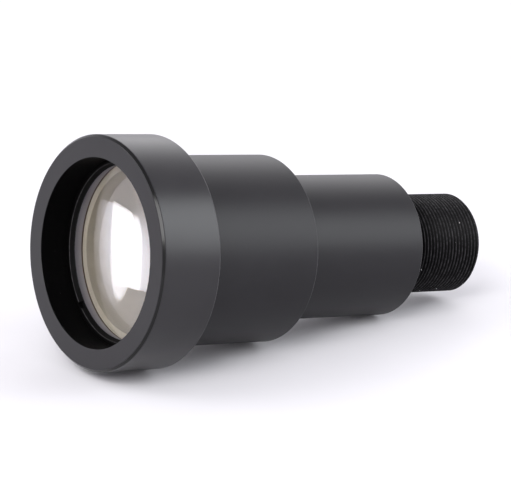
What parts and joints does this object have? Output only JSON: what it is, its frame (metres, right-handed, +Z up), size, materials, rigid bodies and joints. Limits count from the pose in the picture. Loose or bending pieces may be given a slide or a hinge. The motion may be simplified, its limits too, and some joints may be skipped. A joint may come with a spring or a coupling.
{
  "type": "board lens",
  "caption": "Long-focus board lens in a black anodised stepped metal barrel, with a wide front ring, coated glass elements and a fine M12 mounting thread at the rear.",
  "frame": {"origin": "centre of the rear shoulder plane, where the mounting thread begins", "axes": "+Y along the optical axis out of the mounting thread, towards the sensor; -Y towards the subject; +Z up when the lens is held level"},
  "size_m": [0.0266, 0.053, 0.0266],
  "materials": {
    "ring_anodised": "black anodised, fine turned, satin",
    "barrel_anodised": "black anodised, fine turned, soft satin",
    "matt_black_metal": "black anodised, matt",
    "bare_metal": "bare, fine turned, satin",
    "coated_glass": "polished, anti-reflection coated"
  },
  "bodies": {
    "root": {"front_ring": "ring_anodised", "main_barrel": "barrel_anodised", "front_retaining_ring": "matt_black_metal", "crown_lens": "coated_glass", "flint_lens": "coated_glass", "front_spacer_ring": "bare_metal", "meniscus_lens": "coated_glass", "tapered_baffle_ring": "bare_metal", "aperture_stop": "matt_black_metal", "rear_negative_lens": "coated_glass", "rear_spacer_tube": "matt_black_metal", "rear_positive_lens": "coated_glass", "rear_retaining_ring": "matt_black_metal"}
  },
  "joints": []
}
